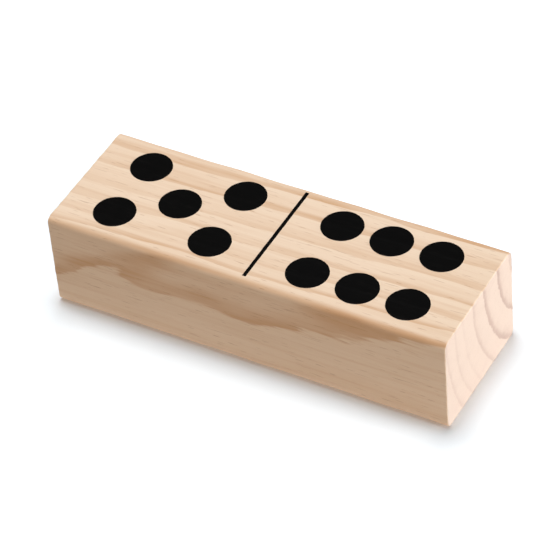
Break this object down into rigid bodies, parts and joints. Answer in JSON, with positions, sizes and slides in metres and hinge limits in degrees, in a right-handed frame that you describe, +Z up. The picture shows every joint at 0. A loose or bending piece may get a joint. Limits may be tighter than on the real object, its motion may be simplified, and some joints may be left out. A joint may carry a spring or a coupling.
{
  "type": "domino tile",
  "caption": "Large floor-game domino tile in solid pine, with round black pips and a dividing line printed on its upper face and softly rounded long edges.",
  "frame": {"origin": "centre of the underside, on the plane that the tile rests on", "axes": "+Z points up through the printed face, +X runs along the tile towards its six half, -Y faces the front long side"},
  "size_m": [0.15, 0.05, 0.0381],
  "materials": {
    "pine": "planed and lightly sanded bare pine, pale straw with faint growth-ring grain; sawn end grain on the ends",
    "black_ink": "printed black ink, satin, with the wood grain showing faintly through"
  },
  "bodies": {
    "root": {"pine_block": "pine", "divider_line": "black_ink", "five_pip_centre": "black_ink", "five_pip_front_outer": "black_ink", "five_pip_front_inner": "black_ink", "five_pip_back_outer": "black_ink", "five_pip_back_inner": "black_ink", "six_pip_front_outer": "black_ink", "six_pip_front_middle": "black_ink", "six_pip_front_inner": "black_ink", "six_pip_back_outer": "black_ink", "six_pip_back_middle": "black_ink", "six_pip_back_inner": "black_ink"}
  },
  "joints": []
}
